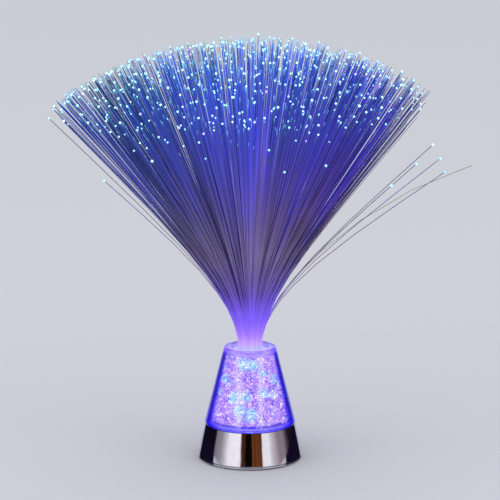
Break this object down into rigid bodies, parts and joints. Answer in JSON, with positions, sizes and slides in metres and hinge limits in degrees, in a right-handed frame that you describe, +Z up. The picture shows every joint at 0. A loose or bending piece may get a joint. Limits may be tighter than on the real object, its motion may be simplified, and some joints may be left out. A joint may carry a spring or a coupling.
{
  "type": "fiber optic lamp",
  "caption": "Battery fibre optic lamp: chromed cone base, clear blue-lit cup of acrylic crystals and a wide dome of thin light-guide fibres with glowing tips.",
  "frame": {"origin": "centre of the foot ring's underside, on the table under the middle of the round base", "axes": "+Z up along the base's axis; the battery cells lie along X and the slide switch is at +Y, so the pictured front is -Y"},
  "size_m": [0.3195, 0.2882, 0.331],
  "materials": {
    "chrome": "bright chrome plating on moulded plastic",
    "black_plastic": "fine matt moulded black plastic",
    "steel": "zinc-plated screw steel",
    "rubber": "matt black rubber",
    "cell": "plain film-wrapped dry cell",
    "contact": "nickel-plated stamped steel",
    "laminate": "circuit laminate",
    "knob_plastic": "moulded pale plastic",
    "brass": "plain brass",
    "led_lens": "clear cast resin",
    "chip_black": "moulded black resin",
    "wire_red": "smooth wire insulation",
    "wire_black": "smooth wire insulation",
    "clear_acrylic": "clear polished acrylic, lit blue from inside",
    "crystal": "clear faceted acrylic, lit violet",
    "ferrule": "smooth white plastic",
    "fiber": "smooth acrylic light-guide fibre, lit blue"
  },
  "bodies": {
    "base": {"base_shell": "chrome", "bottom_plate": "black_plastic", "plate_screws": "steel", "foot_ring": "rubber", "battery_cell_1": "cell", "battery_cell_2": "cell", "battery_cell_3": "cell", "contact_negative": "contact", "contact_link_left": "contact", "contact_link_right": "contact", "contact_positive": "contact", "contact_springs": "contact", "switch_frame": "contact", "switch_terminal_board": "laminate", "switch_pins": "contact", "switch_screws": "steel", "led_board": "laminate", "board_screws": "steel", "main_led": "led_lens", "accent_leds": "led_lens", "led_legs": "contact", "driver_chip": "chip_black", "resistors": "chip_black", "wire_positive": "wire_red", "wire_switched": "wire_red", "wire_negative": "wire_black", "cup_floor": "clear_acrylic", "crystal_cup": "clear_acrylic", "crystal_chips": "crystal", "bundle_tube": "clear_acrylic", "bundle_ferrule": "ferrule", "fiber_bundle": "fiber", "fiber_spray": "fiber"},
    "battery_door": {"battery_door": "black_plastic", "door_latch": "black_plastic"},
    "switch_knob": {"switch_knob": "knob_plastic", "switch_bridge": "brass"}
  },
  "joints": [
    {"name": "door_tip", "type": "hinge", "parent": "base", "child": "battery_door", "pos_m": [-0.0275, 0, 0.0014], "axis": [0, 1, 0], "range_deg": [0, 70], "deforming": ["door_latch"]},
    {"name": "knob_slide", "type": "slide", "parent": "base", "child": "switch_knob", "axis": [1, 0, 0], "range_m": [0, 0.003]}
  ]
}
